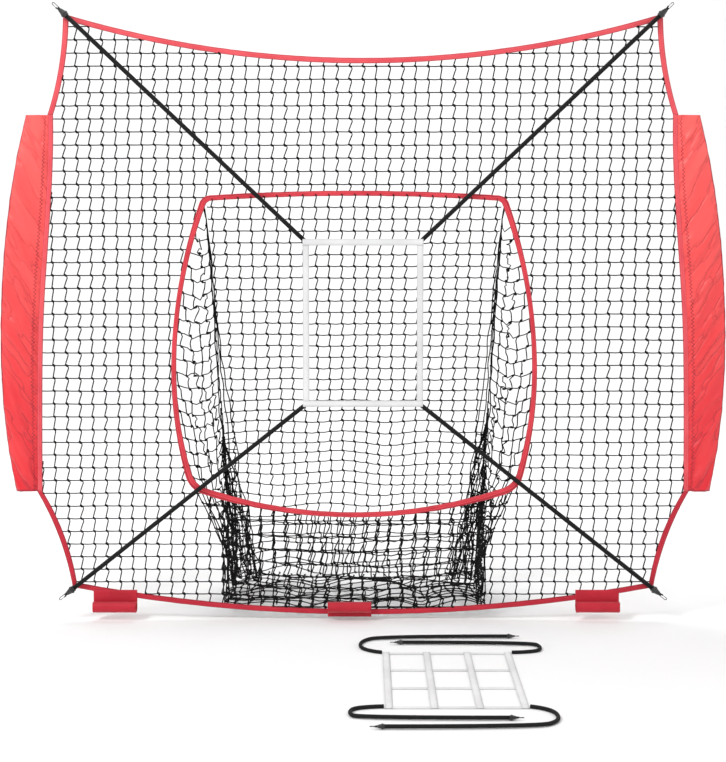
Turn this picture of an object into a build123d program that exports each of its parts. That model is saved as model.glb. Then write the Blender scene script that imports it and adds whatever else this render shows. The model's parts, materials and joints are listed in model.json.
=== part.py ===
from build123d import *
from math import ceil, cos, hypot, radians, sin, tan
import os

# Pitching target net: a bow net with side sleeves, a ball pocket behind a mouth, base bar tabs,
# a white strike zone on four shock cords, and a loose nine-hole target with its own cords.
#
# Millimetres. X runs across the net, Y runs away from the thrower, Z is up.
# The net hangs in the plane Y = 0 and the floor is Z = 0, under the middle of the bottom edge.

# Netting
MESH = 38.0  # knot to knot
STRAND = 2.4  # square section of one strand
STRAND_GAP = 0.1  # each of the two strand layers stays this far off the middle plane
BAND = 16.0  # width of the sewn edge binding
BAND_T = 6.0  # folded binding and the net edge inside it
EDGE_GAP = 0.4  # strands stop this short of the binding

# Outline of the net, half widths and heights
TOP_CORNER = (870.0, 1785.0)
TOP_MIDDLE_Z = 1658.0
UPPER_SIDE = (884.0, 1632.0)
SLEEVE_TOP = (919.0, 1494.0)
SLEEVE_INNER = [(930.0, 1225.0), (953.0, 940.0), (963.0, 640.0)]
SLEEVE_BOTTOM = (966.0, 386.0)
LOWER_SIDE = (901.0, 243.0)
BOTTOM_CORNER = (864.0, 97.0)
BOTTOM_MIDDLE_Z = 15.0
NET_MIDDLE = (0.0, 900.0)

# Pole sleeves: outer edge, from the top end to the bottom end
SLEEVE_OUTER = [982.0, 1037.0, 1064.0, 1062.0, 1027.0]
SLEEVE_SPANS = 9  # ruled spans down its length
SLEEVE_HEIGHT = 24.0  # front to back where it is fullest
SLEEVE_WALL = 2.0
SEAM_GAP = 1.6  # the sleeve stands off its seam by this much

# Mouth of the ball pocket, half widths and heights about its own middle
MOUTH_X = -26.0
MOUTH_TOP = (438.0, 1251.0)
MOUTH_TOP_Z = 1266.0
MOUTH_SIDE = (502.0, 1030.0)
MOUTH_WIDE = (532.0, 740.0)
MOUTH_LOW = (480.0, 398.0)
MOUTH_BOTTOM_Z = 315.0
MOUTH_TOP_R = 25.0
MOUTH_LOW_R = 70.0
MOUTH_BAND = 15.0

# Ball pocket behind the mouth
POCKET_BACK_TOP = 432.0
POCKET_BACK_LOW = 385.0
POCKET_DEPTH = 480.0
POCKET_FLOOR_Z = 20.0
APRON_Y = 11.0
APRON_WAIST_Z = 215.0
SIDE_LEVELS = [1191.0, 1030.0, 740.0, 440.0, APRON_WAIST_Z, POCKET_FLOOR_Z]
SKIN_GAP = 2 * STRAND  # the gathered sides stand off the rear panel by this much

# Base bar tabs
BAR_Y = -18.0
BAR_Z = 42.0
BAR_BORE_R = 13.0
TAB_WALL = 2.0
TAB_W = 132.0
TAB_X = [-737.0, -40.0, 697.0]
TAB_MOUTH_DEG = 70.0  # the open front of the loop, which the flap closes
TAB_ROOT_TOP_Z = 90.0
TAB_ROOT_LOW_Z = 9.0
FLAP_GAP = 0.4
FLAP_T = 1.6

# Strike zone
ZONE_W = 353.0
ZONE_H = 493.0
ZONE_LOW_Z = 640.0
WEB = 19.0
WEB_T = 2.0
ZONE_Y = -22.5
ZONE_CORD_R = 6.5
ZONE_CORD_Y = -14.8
ZONE_CORD_TUCK = 10.0  # length of cord behind the corner of the webbing
ZONE_FERRULE = {"upper": (857.0, 1776.0), "lower": (858.0, 98.0)}

# Cord end fitting at full size: a ferrule, a swivel snap hook and its gate
FERRULE_L = 27.0
FERRULE_FLATS = 12  # grip flats round the moulding
FERRULE_R = 9.0
FERRULE_TIP_R = 5.5
COLLAR_R = 11.0
COLLAR_X = (7.0, 11.0)
COLLAR_SLOPE = 2.0
CORD_SEAT = 12.0
PIN_R = 1.6
PIN_L = 5.0
SWIVEL_R = 4.4
SWIVEL_L = 7.0
SWIVEL_FLATS = 8
WIRE = 2.2
WIRE_FLATS = 6
LOOP_L = 22.0
LOOP_HALF = 3.3  # middle of the wire to the middle of the hook
NOSE_L = 4.0
EAR_L = 4.5
EAR_RIM = 0.5  # wall of the ears beyond the gate's eye
GATE_R = 0.9
GATE_EYE_R = 1.5
PIVOT_R = 0.7
RUNNING = 0.05  # radial clearance of a turning pin
AXIAL = 0.3

# Nine-hole target, lying on the floor in front of the net
TARGET_X = 230.0
TARGET_FAR_Y = -364.0
TARGET_W = 353.0
TARGET_D = 493.0
TARGET_WEB_T = 1.8
LAYER_GAP = 0.1
TARGET_FIT = 0.64  # size of its fittings against those of the strike zone
TARGET_CORD_R = 5.0
TARGET_CORD_FLATS = 10
TARGET_END_Z = 7.2  # height of the cord's axis where it enters its ferrule
FAR_LEFT_ROUTE = [(-2.5, -8), (-57, 12), (-64, 102), (-2, 149), (363, 149)]
FAR_RIGHT_ROUTE = [(2.5, -9), (72, -4), (90, 41), (67, 85), (-303, 85)]


def on_front(sketch, y, thickness):
    """A sketch drawn in X and Z, as a slab of this thickness about the plane Y = y."""
    return Plane.XZ.offset(-y) * extrude(sketch, thickness / 2, both=True)


def moved(point, x=0.0, z=0.0):
    """The same outline point, shifted."""
    return (point[0] + x, point[1] + z)


def mirrored_face(top, side, bottom):
    """A face from a top and a bottom edge that cross the middle, and its right side."""
    other = mirror(side, Plane.YZ)
    return make_face([*top.edges(), *side.edges(), *bottom.edges(), *other.edges()])


def net_outline(inset=0.0):
    """The sewn shape of the net: hollow top, bowed sides and a round bottom edge. The inset
    moves every edge in by that much, and each corner along both of its edges."""
    corner = moved(TOP_CORNER, -inset, -1.34 * inset)
    sleeve_top = moved(SLEEVE_TOP, -inset)
    sleeve_bottom = moved(SLEEVE_BOTTOM, -inset)
    low_corner = moved(BOTTOM_CORNER, -0.76 * inset, 0.87 * inset)
    side = Curve() + [
        ThreePointArc(corner, moved(UPPER_SIDE, -inset), sleeve_top),
        Spline(sleeve_top, *[moved(point, -inset) for point in SLEEVE_INNER], sleeve_bottom),
        ThreePointArc(sleeve_bottom, moved(LOWER_SIDE, -1.06 * inset), low_corner),
    ]
    top = ThreePointArc((-corner[0], corner[1]), (0, TOP_MIDDLE_Z - inset), corner)
    bottom = ThreePointArc(low_corner, (0, BOTTOM_MIDDLE_Z + inset), (-low_corner[0], low_corner[1]))
    return mirrored_face(top, side, bottom)


def mouth_outline(grow=0.0):
    """The mouth: a nearly straight top, full sides and a sagging lip, all moved out by grow."""
    corner = moved(MOUTH_TOP, grow, grow)
    wide = moved(MOUTH_WIDE, grow)
    low = moved(MOUTH_LOW, 1.1 * grow, -1.1 * grow)
    side = Curve() + [
        ThreePointArc(corner, moved(MOUTH_SIDE, grow), wide),
        TangentArc(wide, low, tangent=(0, -1)),
    ]
    top = ThreePointArc((-corner[0], corner[1]), (0, MOUTH_TOP_Z + grow), corner)
    lip = ThreePointArc(low, (0, MOUTH_BOTTOM_Z - grow), (-low[0], low[1]))
    face = mirrored_face(top, side, lip)
    face = fillet(face.vertices().sort_by(Axis.Y)[:2], MOUTH_LOW_R + grow)
    face = fillet(face.vertices().sort_by(Axis.Y)[-2:], MOUTH_TOP_R + grow)
    return Pos(MOUTH_X, 0, 0) * face


def mouth_half_width(z):
    """Half width of the mouth at a height between its lip and its top."""
    row = Pos(0, z) * Rectangle(3000, 0.2)
    return (mouth_outline() & row).bounding_box().size.X / 2


def strands(face, level=0.0):
    """Netting over a flat face drawn in X and Y: strips both ways, in two layers about Z = level."""
    box = face.bounding_box()
    middle = (round(box.center().X / MESH) * MESH, round(box.center().Y / MESH) * MESH)
    columns = 2 * ceil(box.size.X / 2 / MESH) + 1
    rows = 2 * ceil(box.size.Y / 2 / MESH) + 1
    across = GridLocations(0, MESH, 1, rows) * Rectangle(2 * box.size.X, STRAND)
    upright = GridLocations(MESH, 0, columns, 1) * Rectangle(STRAND, 2 * box.size.Y)
    solids = []
    for strips, side in ((across, -1), (upright, 1)):
        for strip in strips:
            kept = face & (Pos(*middle) * strip)
            for piece in kept.faces() if kept else []:
                slab = extrude(piece, STRAND, dir=(0, 0, side))
                solids += (Pos(0, 0, level + side * STRAND_GAP) * slab).solids()
    return solids


def main_net():
    """The front netting, inside the binding and outside the mouth band."""
    face = net_outline(BAND + EDGE_GAP) - mouth_outline(MOUTH_BAND / 2 + EDGE_GAP)
    return [Plane.XZ * solid for solid in strands(face)]


def bindings():
    """The edge binding and the two sleeve seams, cut at the corners and at the sleeve ends."""
    ring = net_outline() - net_outline(BAND)
    middle = Vector(*NET_MIDDLE)
    sector = {}
    for name, (x, z) in (("top", TOP_CORNER), ("bottom", BOTTOM_CORNER)):
        far = (Vector(x, z) - middle) * 3
        points = [middle, middle + far, middle + Vector(-far.X, far.Y)]
        sector[name] = make_face(Polyline(*points, close=True))
    made = {f"binding_{name}": ring & sector[name] for name in sector}
    tall = 2 * TOP_CORNER[1]
    cuts = {
        "binding_{}_upper": (SLEEVE_TOP[1], tall),
        "sleeve_seam_{}": (SLEEVE_BOTTOM[1], SLEEVE_TOP[1]),
        "binding_{}_lower": (-tall, SLEEVE_BOTTOM[1]),
    }
    for side, sign in (("left", -1), ("right", 1)):
        edge = ring - sector["top"] - sector["bottom"]
        for name, (low, high) in cuts.items():
            window = Pos(sign * tall / 2, (low + high) / 2) * Rectangle(tall, high - low)
            made[name.format(side)] = edge & window
    return {name: on_front(face, 0, BAND_T) for name, face in made.items()}


def sleeve_section(inner, outer, height, edge, z, wall):
    """One level section of a sleeve: two shallow panels sewn together along both edges."""
    half = edge / 2 - wall
    tip = edge / 4 - wall / 2
    inner, outer = inner + wall, outer - wall
    bulge = height / 2 - wall
    middle = (inner + outer) / 2
    front = ThreePointArc((inner, -half), (middle, -bulge), (outer, -tip))
    back = ThreePointArc((outer, tip), (middle, bulge), (inner, half))
    seam = Line((inner, half), (inner, -half))
    hem = Line((outer, -tip), (outer, tip))
    return Pos(0, 0, z) * make_face([*front.edges(), *hem.edges(), *back.edges(), *seam.edges()])


def curve_x(curve, z):
    """Where a side curve, drawn in X and Z, crosses a height."""
    return (curve & Line((0, z), (2 * TOP_CORNER[0], z))).vertices()[0].X


def sleeve():
    """The right pole sleeve: a bowed flat tube, open at both ends."""
    points = [SLEEVE_TOP, *SLEEVE_INNER, SLEEVE_BOTTOM]
    inner_edge = Spline(*points)
    outer_edge = Spline(*[(outer, z) for outer, (inner, z) in zip(SLEEVE_OUTER, points)])
    ends = [(SLEEVE_OUTER[0], SLEEVE_TOP), (SLEEVE_OUTER[-1], SLEEVE_BOTTOM)]
    drop = (SLEEVE_TOP[1] - SLEEVE_BOTTOM[1]) / SLEEVE_SPANS
    levels = [(ends[0][1][0], ends[0][0], SLEEVE_TOP[1])]
    for span in range(1, SLEEVE_SPANS):
        z = SLEEVE_TOP[1] - span * drop
        levels.append((curve_x(inner_edge, z), curve_x(outer_edge, z), z))
    levels.append((ends[1][1][0], ends[1][0], SLEEVE_BOTTOM[1]))
    walls = {}
    for wall in (0.0, SLEEVE_WALL):
        sections = [
            sleeve_section(inner + SEAM_GAP, outer, SLEEVE_HEIGHT, BAND_T, z, wall)
            for inner, outer, z in levels
        ]
        walls[wall] = loft(sections, ruled=True)
    return walls[0.0] - walls[SLEEVE_WALL]


def pocket_back_y(z):
    """How far back the pocket's rear panel hangs at a height."""
    return POCKET_DEPTH * (MOUTH_TOP[1] - z) / (MOUTH_TOP[1] - POCKET_FLOOR_Z)


def pocket_back():
    """The rear panel, sloping back from the top of the mouth to the floor."""
    rise = MOUTH_TOP[1] - MOUTH_BAND - POCKET_FLOOR_Z
    slope = hypot(rise, pocket_back_y(POCKET_FLOOR_Z) - BAND_T)
    outline = Polyline(
        (-POCKET_BACK_LOW, 0),
        (POCKET_BACK_LOW, 0),
        (POCKET_BACK_TOP, slope),
        (-POCKET_BACK_TOP, slope),
        close=True,
    )
    run = POCKET_DEPTH - BAND_T - STRAND
    plane = Plane((MOUTH_X, POCKET_DEPTH, POCKET_FLOOR_Z), (1, 0, 0), (0, -rise, -run))
    return [plane * solid for solid in strands(make_face(outline))]


def pocket_side():
    """The right gathered side of the pocket: a ruled skin from the mouth to the rear panel."""
    sections = []
    for z in SIDE_LEVELS:
        low = z < MOUTH_LOW[1]
        share = (z - POCKET_FLOOR_Z) / (MOUTH_TOP[1] - POCKET_FLOOR_Z)
        back_x = POCKET_BACK_LOW + (POCKET_BACK_TOP - POCKET_BACK_LOW) * share + SKIN_GAP
        front_x = POCKET_BACK_LOW + SKIN_GAP if low else mouth_half_width(z)
        front_y = APRON_Y if low else BAND_T / 2 + 1
        back_y = pocket_back_y(z) - SKIN_GAP
        outline = Polyline(
            (front_x, front_y),
            (front_x + STRAND, front_y),
            (back_x + STRAND, back_y),
            (back_x, back_y),
            close=True,
        )
        sections.append(Pos(0, 0, z) * make_face(outline))
    return loft(sections, ruled=True)


def pocket_apron():
    """The slack front of the pocket, hanging from the lip of the mouth to the floor."""
    outline = Polyline(
        (-MOUTH_LOW[0] + MOUTH_BAND, MOUTH_LOW[1]),
        (-POCKET_BACK_LOW, APRON_WAIST_Z),
        (-POCKET_BACK_LOW, POCKET_FLOOR_Z),
        (POCKET_BACK_LOW, POCKET_FLOOR_Z),
        (POCKET_BACK_LOW, APRON_WAIST_Z),
        (MOUTH_LOW[0] - MOUTH_BAND, MOUTH_LOW[1]),
        close=True,
    )
    face = Pos(MOUTH_X, 0) * make_face(outline) - mouth_outline(MOUTH_BAND / 2 + EDGE_GAP)
    return [Plane.XZ * solid for solid in strands(face, -APRON_Y)]


def pocket_floor():
    """The bottom panel of the pocket, between the apron and the rear panel."""
    depth = POCKET_DEPTH - APRON_Y - 8 * STRAND
    middle = APRON_Y + 4 * STRAND + depth / 2
    face = Pos(MOUTH_X, middle) * Rectangle(2 * POCKET_BACK_LOW - 2 * STRAND, depth)
    return strands(face, POCKET_FLOOR_Z)


def bar_tab(x, root_z):
    """A fabric loop for the base bar, open along its front, with a root sewn to the binding."""
    outer = BAR_BORE_R + TAB_WALL
    reach = 2 * outer
    half = radians(TAB_MOUTH_DEG / 2)
    gap = [(0, 0), (-reach, reach * tan(half)), (-reach, -reach * tan(half))]
    root = Pos(outer - TAB_WALL / 2, (root_z - BAR_Z) / 2) * Rectangle(TAB_WALL, abs(root_z - BAR_Z))
    loop = Circle(outer) + root - Circle(BAR_BORE_R) - make_face(Polyline(*gap, close=True))
    plane = Plane((x, BAR_Y, BAR_Z), (0, 1, 0), (1, 0, 0))
    return plane * extrude(loop, TAB_W / 2, both=True)


def tab_flap(x):
    """The hook-and-loop flap that closes the front of a loop, hinged under it."""
    inner = BAR_BORE_R + TAB_WALL + FLAP_GAP
    reach = 3 * BAR_BORE_R
    rise = radians(TAB_MOUTH_DEG / 2 + 20)
    cover = Polyline(
        (0, 0),
        (-reach * cos(rise), reach * sin(rise)),
        (-reach, 0),
        (-reach, -reach),
        (0, -reach),
        close=True,
    )
    shape = (Circle(inner + FLAP_T) - Circle(inner)) & make_face(cover)
    plane = Plane((x, BAR_Y, BAR_Z), (0, 1, 0), (1, 0, 0))
    return plane * extrude(shape, TAB_W / 2 - 2, both=True)


def ferrule(size, cord_r):
    """A moulded ferrule along X: a seat for the cord, a collar, a taper and the swivel's pin."""
    stations = [
        (0, FERRULE_R),
        (COLLAR_X[0] - COLLAR_SLOPE, FERRULE_R),
        (COLLAR_X[0], COLLAR_R),
        (COLLAR_X[1], COLLAR_R),
        (COLLAR_X[1] + COLLAR_SLOPE, FERRULE_R),
        (FERRULE_L, FERRULE_TIP_R),
    ]
    sections = [Plane.YZ.offset(x * size) * RegularPolygon(r * size, FERRULE_FLATS) for x, r in stations]
    pin = Plane.YZ.offset(FERRULE_L * size) * extrude(Circle(PIN_R * size), PIN_L * size)
    seat = Plane.YZ * extrude(Circle(cord_r + LAYER_GAP), CORD_SEAT * size)
    return loft(sections, ruled=True) + pin - seat


def hook_root(size):
    """Where the hook's wire leaves its swivel barrel, along the fitting."""
    return (FERRULE_L + SWIVEL_L) * size + AXIAL


def hook_bend(size):
    """Where the hook's wire starts to turn back, along the fitting."""
    return hook_root(size) + (LOOP_L - LOOP_HALF - WIRE / 2) * size


def snap_hook(size):
    """A swivel barrel that turns on the ferrule's pin, a bent wire hook and two ears for the gate."""
    start = FERRULE_L * size + AXIAL
    barrel = Plane.YZ.offset(start) * extrude(RegularPolygon(SWIVEL_R * size, SWIVEL_FLATS), SWIVEL_L * size)
    bore = Plane.YZ.offset(start) * extrude(Circle(PIN_R * size + RUNNING), PIN_L * size)
    root, bend = hook_root(size), hook_bend(size)
    half = LOOP_HALF * size
    back = Line((root - size, -half), (bend, -half))
    tip = ThreePointArc((bend, -half), (bend + half, 0), (bend, half))
    nose = Line((bend, half), (bend - NOSE_L * size, half))
    section = Plane(back @ 0, z_dir=back % 0) * RegularPolygon(WIRE / 2 * size, WIRE_FLATS)
    wire = sweep(section, path=Wire([*back.edges(), *tip.edges(), *nose.edges()]))
    ear_w = 2 * (GATE_EYE_R + EAR_RIM) * size
    slot = 2 * (GATE_R * size + RUNNING)
    place = Pos(root + EAR_L * size / 2, half)
    ears = place * Box(EAR_L * size, ear_w, 2.2 * slot)
    ears -= place * Box(2 * EAR_L * size, 2 * ear_w, slot)
    pin = place * Cylinder(PIVOT_R * size, 2 * slot)
    return barrel - bore + wire + ears + pin


def gate_pivot(size):
    """Where the gate turns, in the fitting's own frame."""
    return Vector(hook_root(size) + EAR_L / 2 * size, LOOP_HALF * size, 0)


def hook_gate(size):
    """The sprung gate: an eye on the ears' pin and an arm that closes on the hook's nose."""
    pivot = gate_pivot(size)
    reach = hook_bend(size) - NOSE_L * size - AXIAL - pivot.X
    arm = Pos(reach / 2, 0) * Box(reach, 1.6 * GATE_R * size, 1.6 * GATE_R * size)
    eye = Cylinder(GATE_EYE_R * size, 2 * GATE_R * size)
    return Pos(*pivot) * (arm + eye - Cylinder(PIVOT_R * size + RUNNING, 4 * size))


def zone_strips():
    """The four webbing strips of the strike zone, butted at the corners."""
    high_z = ZONE_LOW_Z + ZONE_H
    level = Rectangle(ZONE_W, WEB)
    upright = Rectangle(WEB, ZONE_H - 2 * WEB)
    across = (ZONE_W - WEB) / 2
    middle_z = (ZONE_LOW_Z + high_z) / 2
    made = {
        "zone_strip_top": Pos(0, high_z - WEB / 2) * level,
        "zone_strip_bottom": Pos(0, ZONE_LOW_Z + WEB / 2) * level,
        "zone_strip_left": Pos(-across, middle_z) * upright,
        "zone_strip_right": Pos(across, middle_z) * upright,
    }
    return {name: on_front(face, ZONE_Y, WEB_T) for name, face in made.items()}


def zone_corners():
    """Each corner of the strike zone with the frame of the fitting at the end of its cord."""
    frames = {}
    for level, (x, z) in ZONE_FERRULE.items():
        corner_z = ZONE_LOW_Z + (ZONE_H if level == "upper" else 0)
        for side, sign in (("left", -1), ("right", 1)):
            corner = Vector(sign * ZONE_W / 2, ZONE_CORD_Y, corner_z)
            base = Vector(sign * x, ZONE_CORD_Y, z)
            frame = Plane(base, x_dir=base - corner, z_dir=(0, -1, 0))
            frames[f"{level}_{side}"] = (corner, frame)
    return frames


def zone_cord(corner, frame):
    """A taut shock cord from behind the webbing's corner into its ferrule."""
    start = corner - frame.x_dir * ZONE_CORD_TUCK
    end = frame.origin + frame.x_dir * CORD_SEAT
    plane = Plane(start, z_dir=frame.x_dir)
    return plane * extrude(Circle(ZONE_CORD_R), (end - start).length)


def target_strips():
    """The two layers of four webbing strips that make the nine holes."""
    middle_y = TARGET_FAR_Y - TARGET_D / 2
    rows = GridLocations(0, (TARGET_D - WEB) / 3, 1, 4) * Rectangle(TARGET_W, WEB)
    columns = GridLocations((TARGET_W - WEB) / 3, 0, 4, 1) * Rectangle(WEB, TARGET_D)
    place = Pos(TARGET_X, middle_y)
    upper = TARGET_WEB_T + LAYER_GAP
    return {
        "target_rows": [place * extrude(strip, TARGET_WEB_T) for strip in rows],
        "target_columns": [place * Pos(0, 0, upper) * extrude(strip, TARGET_WEB_T) for strip in columns],
    }


def target_routes():
    """The route of each free cord: out of a corner, round a bend and straight back along the side."""
    routes = {}
    for name, points in (("left", FAR_LEFT_ROUTE), ("right", FAR_RIGHT_ROUTE)):
        sign = -1 if name == "left" else 1
        other = "right" if name == "left" else "left"
        heights = [TARGET_CORD_R] * 3 + [TARGET_END_Z] * 2
        far = Vector(TARGET_X + sign * TARGET_W / 2, TARGET_FAR_Y)
        near = Vector(TARGET_X - sign * TARGET_W / 2, TARGET_FAR_Y - TARGET_D)
        routes[f"far_{name}"] = [far + Vector(x, y, z) for (x, y), z in zip(points, heights)]
        routes[f"near_{other}"] = [near + Vector(-x, -y, z) for (x, y), z in zip(points, heights)]
    return routes


def free_cord(name, route):
    """A cord of straight runs joined by arcs as large as the runs allow."""
    radii = []
    for before, point, after in zip(route, route[1:], route[2:]):
        turn = radians((point - before).get_angle(after - point))
        run = min((point - before).length, (after - point).length)
        radii.append(0.45 * run / tan(turn / 2))
    path = FilletPolyline(*route, radius=radii)
    section = Plane(path @ 0, z_dir=path % 0) * RegularPolygon(TARGET_CORD_R, TARGET_CORD_FLATS)
    tube = sweep(section, path=path)
    ratio = tube.volume / section.area / path.length
    print(name, "radii", [round(r) for r in radii], "length", round(path.length), "volume", round(ratio, 4))
    return tube


def target_frames(routes):
    """The frame of the fitting at the end of each free cord, lying flat on the floor."""
    frames = {}
    for name, route in routes.items():
        along = route[-1] - route[-2]
        frames[name] = Plane(route[-1], x_dir=along, z_dir=(0, 0, 1))
    return frames


def build():
    """Every node of the part by name."""
    nodes = {"main_net": main_net()}
    nodes.update(bindings())

    right_sleeve = sleeve()
    nodes["sleeve_right"] = right_sleeve
    nodes["sleeve_left"] = mirror(right_sleeve, Plane.YZ)

    band = mouth_outline(MOUTH_BAND / 2) - mouth_outline(-MOUTH_BAND / 2)
    nodes["mouth_band"] = on_front(band, 0, BAND_T)
    side = pocket_side()
    nodes["pocket_back"] = pocket_back()
    nodes["pocket_right"] = Pos(MOUTH_X, 0, 0) * side
    nodes["pocket_left"] = Pos(MOUTH_X, 0, 0) * mirror(side, Plane.YZ)
    nodes["pocket_floor"] = pocket_floor()
    nodes["pocket_apron"] = pocket_apron()

    for name, x in zip(("left", "centre", "right"), TAB_X):
        root_z = TAB_ROOT_LOW_Z if name == "centre" else TAB_ROOT_TOP_Z
        nodes[f"bar_tab_{name}"] = bar_tab(x, root_z)
        nodes[f"tab_flap_{name}"] = tab_flap(x)

    nodes.update(zone_strips())
    ferrules = []
    for name, (corner, frame) in zone_corners().items():
        nodes[f"zone_cord_{name}"] = zone_cord(corner, frame)
        nodes[f"zone_hook_{name}"] = frame * snap_hook(1.0)
        nodes[f"zone_gate_{name}"] = frame * hook_gate(1.0)
        ferrules.append(frame * ferrule(1.0, ZONE_CORD_R))
    nodes["zone_ferrules"] = ferrules

    nodes.update(target_strips())
    routes = target_routes()
    ferrules = []
    for name, frame in target_frames(routes).items():
        frame = Plane(frame.origin - frame.x_dir * CORD_SEAT * TARGET_FIT, frame.x_dir, frame.z_dir)
        nodes[f"target_cord_{name}"] = free_cord(f"target_cord_{name}", routes[name])
        nodes[f"target_hook_{name}"] = frame * snap_hook(TARGET_FIT)
        nodes[f"target_gate_{name}"] = frame * hook_gate(TARGET_FIT)
        ferrules.append(frame * ferrule(TARGET_FIT, TARGET_CORD_R))
    nodes["target_ferrules"] = ferrules
    return nodes


def main():
    os.makedirs("parts", exist_ok=True)
    for name, made in build().items():
        solids = made if isinstance(made, list) else made.solids()
        pieces = [solid for item in solids for solid in item.solids()]
        shape = pieces[0] if len(pieces) == 1 else Compound(children=pieces)
        export_step(shape, f"parts/{name}.step")


main()
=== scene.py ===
import json
import math
import random

import bmesh
import bpy
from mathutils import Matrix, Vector, noise


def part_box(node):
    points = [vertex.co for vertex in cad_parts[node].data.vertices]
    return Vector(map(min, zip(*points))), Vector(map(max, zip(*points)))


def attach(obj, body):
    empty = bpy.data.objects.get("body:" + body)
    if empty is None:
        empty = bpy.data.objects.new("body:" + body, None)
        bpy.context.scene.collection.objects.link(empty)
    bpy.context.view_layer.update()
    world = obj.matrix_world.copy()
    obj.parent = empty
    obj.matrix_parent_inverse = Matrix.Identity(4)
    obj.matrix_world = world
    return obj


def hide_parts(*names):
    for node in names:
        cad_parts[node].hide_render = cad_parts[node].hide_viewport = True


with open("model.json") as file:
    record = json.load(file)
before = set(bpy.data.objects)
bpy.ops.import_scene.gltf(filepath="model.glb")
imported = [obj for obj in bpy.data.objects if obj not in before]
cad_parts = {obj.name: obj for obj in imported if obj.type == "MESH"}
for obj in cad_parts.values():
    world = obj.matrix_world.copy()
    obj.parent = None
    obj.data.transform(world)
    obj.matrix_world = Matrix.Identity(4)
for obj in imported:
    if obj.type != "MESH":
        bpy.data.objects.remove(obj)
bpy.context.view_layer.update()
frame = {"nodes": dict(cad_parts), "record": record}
NODES = frame["nodes"]
MOUNTS = {mount["name"]: mount for mount in frame["record"]["mounts"]}

# Netting
MESH = 0.038  # knot to knot
TWINE = 0.0019  # radius
TWINE_SIDES = 5
ROW_SHARE = 0.92  # a level strand's radius beside an upright one's
KNOT = 0.0040
JOG = 0.0034  # an upright strand steps this far aside at each knot

CORNER_RUN = 0.046  # the pocket's rear side strands run this far on, up into the mouth's corner
SIDE_STRANDS = 11  # uprights across the widest part of a pocket side
GATHER_STRANDS = 17  # slack uprights bunched where a side meets the rear panel
TAB_OPEN_DEG = 70.0  # the open front of each bar loop

# Sleeves
SLEEVE_RUN = 1.108  # length along the map
SLEEVE_PAINTED_LIGHT = (0.45, 1.45)  # heights between which painted light turns the nylon from deep at the bottom to pale at the top, and its painted crease shade from strong to weak
SLEEVE_WALL = 0.0014
SLEEVE_LAP = 0.004  # a sleeve runs under its seam band by this much
ZIGZAG_AT = 0.13  # share of a sleeve's width, from its inner edge
ZIGZAG_PITCH = 0.011
SAME_PLACE = 1e-5  # points nearer than this are one point

# Free cords of the loose target: the same points as the CAD tubes, from each corner of the webbing
CORD_R = 0.0050
CORD_END_Z = 0.0072
FAR_LEFT_ROUTE = [(-0.0025, -0.008), (-0.057, 0.012), (-0.064, 0.102), (-0.002, 0.149), (0.363, 0.149)]
FAR_RIGHT_ROUTE = [(0.0025, -0.009), (0.072, -0.004), (0.090, 0.041), (0.067, 0.085), (-0.303, 0.085)]

# Camera: level with the chest of a thrower, looking slightly down
CAMERA_Y = -4.6
CAMERA_Z = 1.2
AIM_Z = 0.86
MIDDLE_Z = 0.715  # height of the picture's middle on the net, set by a small shift
SCALE_AT_NET = 0.002943  # metres to a picture's unit, for the lens
PICTURE_H = 762


# ---- camera, lights and room


def add_camera():
    """A camera square to the net, far enough back that the net looks flat."""
    data = bpy.data.cameras.new("camera")
    camera = bpy.data.objects.new("camera", data)
    bpy.context.scene.collection.objects.link(camera)
    camera.location = (0, CAMERA_Y, CAMERA_Z)
    aim = Vector((0, 0, AIM_Z)) - camera.location
    camera.rotation_euler = aim.to_track_quat("-Z", "Y").to_euler()
    data.sensor_fit = "VERTICAL"
    data.sensor_height = 24
    data.lens = data.sensor_height * aim.length / SCALE_AT_NET / PICTURE_H
    data.shift_y = (MIDDLE_Z - AIM_Z) / SCALE_AT_NET / PICTURE_H
    data.clip_end = 100
    bpy.context.scene.camera = camera


def add_light(name, place, aim, size, power):
    """A large soft area light."""
    data = bpy.data.lights.new(name, "AREA")
    data.shape = "DISK"
    data.size = size
    data.energy = power
    light = bpy.data.objects.new(name, data)
    light.location = place
    light.rotation_euler = (Vector(aim) - Vector(place)).to_track_quat("-Z", "Y").to_euler()
    bpy.context.scene.collection.objects.link(light)


def add_room():
    """A white floor that curves up into a white wall far behind, and an even white surround."""
    profile = [Vector((0, -9, 0)), Vector((0, 5, 0))]
    bend = 2.5
    for step in range(1, 13):
        turn = math.pi / 2 * step / 12
        profile.append(Vector((0, 5 + bend * math.sin(turn), bend * (1 - math.cos(turn)))))
    profile.append(Vector((0, 5 + bend, 9)))
    rings = [[point + Vector((x, 0, 0)) for x in (-14, 14)] for point in profile]
    room = loft_object("backdrop", rings, closed=False)
    surface = Surface("backdrop_white")
    surface.set("Base Color", (0.88, 0.88, 0.88, 1))
    surface.set("Roughness", 0.9)
    surface.set("Specular IOR Level", 0.1)
    room.data.materials.append(surface.material)
    world = bpy.data.worlds.new("surround")
    world.use_nodes = True
    world.node_tree.nodes["Background"].inputs["Color"].default_value = (1, 1, 1, 1)
    world.node_tree.nodes["Background"].inputs["Strength"].default_value = 0.72
    bpy.context.scene.world = world
    add_light("key", (-3.4, -3.6, 4.8), (0, 0, 0.8), 1.8, 190)
    add_light("fill", (3.8, -3.6, 2.6), (0, 0, 0.9), 3.0, 35)
    add_light("backdrop_light", (0, 2.2, 5.5), (0, 6, 0.6), 4.0, 160)
    bpy.context.scene.view_settings.view_transform = "Standard"


# ---- materials


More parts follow.
